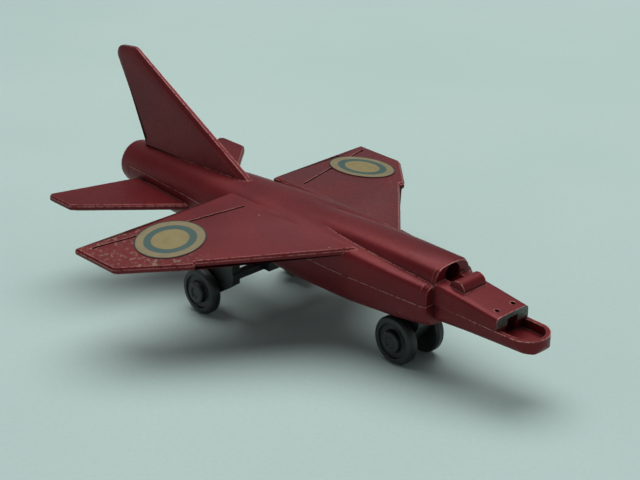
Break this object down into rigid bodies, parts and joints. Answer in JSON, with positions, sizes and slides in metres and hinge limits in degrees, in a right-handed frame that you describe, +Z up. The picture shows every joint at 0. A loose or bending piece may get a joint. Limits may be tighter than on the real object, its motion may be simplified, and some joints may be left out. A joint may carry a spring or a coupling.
{
  "type": "toy airplane",
  "caption": "Small die-cast toy jet aircraft in two painted shells with swept wings, a tall fin, an open nose jaw, a canopy socket and free-rolling wheels on plastic gear legs.",
  "frame": {"origin": "middle of the bounding box's footprint, on the plane that the wheels stand on", "axes": "+X forward to the nose, +Y to port, +Z up; the airframe leans nose-down by 4.2 degrees as it stands on its wheels"},
  "size_m": [0.0975, 0.0656, 0.0394],
  "materials": {
    "red_paint": "satin metallic, worn to bare metal at the edges",
    "black_plastic": "moulded, slightly shiny",
    "wheel_plastic": "moulded, semi-gloss",
    "steel": "drawn wire",
    "roundel_print": "printed film, faded"
  },
  "bodies": {
    "airframe": {"upper_casting": "red_paint", "lower_casting": "red_paint", "nose_gear_leg": "black_plastic", "main_gear_frame": "black_plastic", "port_roundel": "roundel_print", "starboard_roundel": "roundel_print"},
    "nose_wheel_set": {"nose_axle": "steel", "nose_wheel_port": "wheel_plastic", "nose_wheel_starboard": "wheel_plastic"},
    "main_wheel_set_port": {"main_axle_port": "steel", "main_wheel_port": "wheel_plastic"},
    "main_wheel_set_starboard": {"main_axle_starboard": "steel", "main_wheel_starboard": "wheel_plastic"}
  },
  "joints": [
    {"name": "nose_wheel_spin", "type": "hinge", "parent": "airframe", "child": "nose_wheel_set", "pos_m": [0.02126, 0, 0.0041], "axis": [0, 1, 0], "continuous": true},
    {"name": "main_wheel_port_spin", "type": "hinge", "parent": "airframe", "child": "main_wheel_set_port", "pos_m": [-0.01674, 0.0107, 0.0041], "axis": [0, 1, 0], "continuous": true},
    {"name": "main_wheel_starboard_spin", "type": "hinge", "parent": "airframe", "child": "main_wheel_set_starboard", "pos_m": [-0.01674, -0.0107, 0.0041], "axis": [0, 1, 0], "continuous": true}
  ]
}
